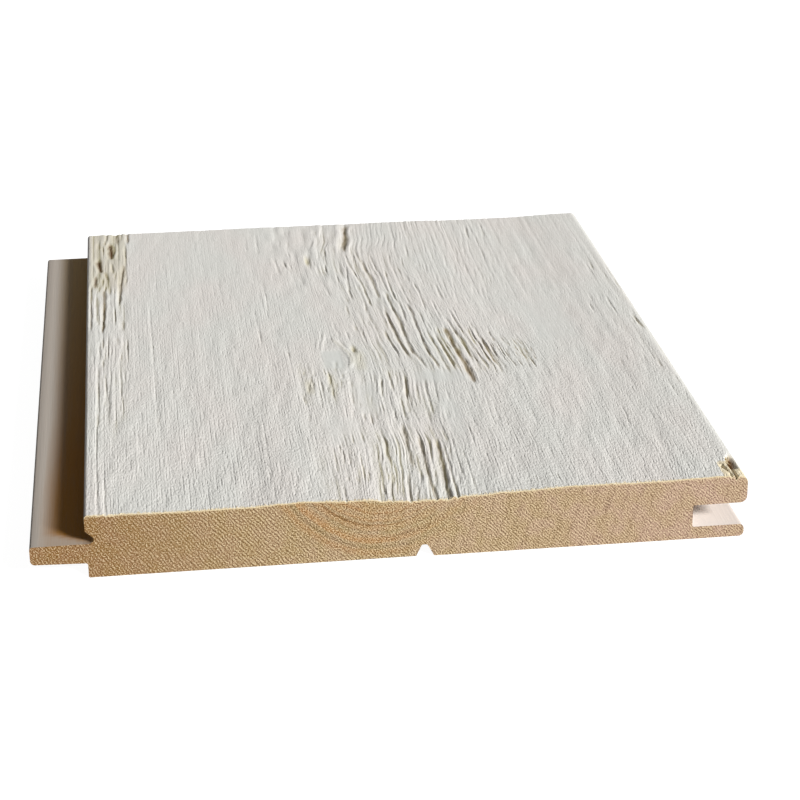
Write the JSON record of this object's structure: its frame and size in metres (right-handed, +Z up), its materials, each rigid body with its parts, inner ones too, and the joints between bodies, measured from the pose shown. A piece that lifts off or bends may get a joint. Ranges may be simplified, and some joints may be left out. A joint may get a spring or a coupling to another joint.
{
  "type": "tongue and groove board",
  "caption": "Short length of painted, brushed softwood tongue and groove board, with a tongue on one long edge, a groove on the other and a relief groove in its back.",
  "frame": {"origin": "bottom centre of the whole board, tongue included, on the back that it lies on", "axes": "+X from the tongue to the groove, +Y along the grain, +Z up out of the painted face"},
  "size_m": [0.19, 0.232, 0.018],
  "materials": {
    "painted_softwood": "white paint on brushed softwood, with bare sawn ends"
  },
  "bodies": {
    "root": {"board": "painted_softwood"}
  },
  "joints": []
}
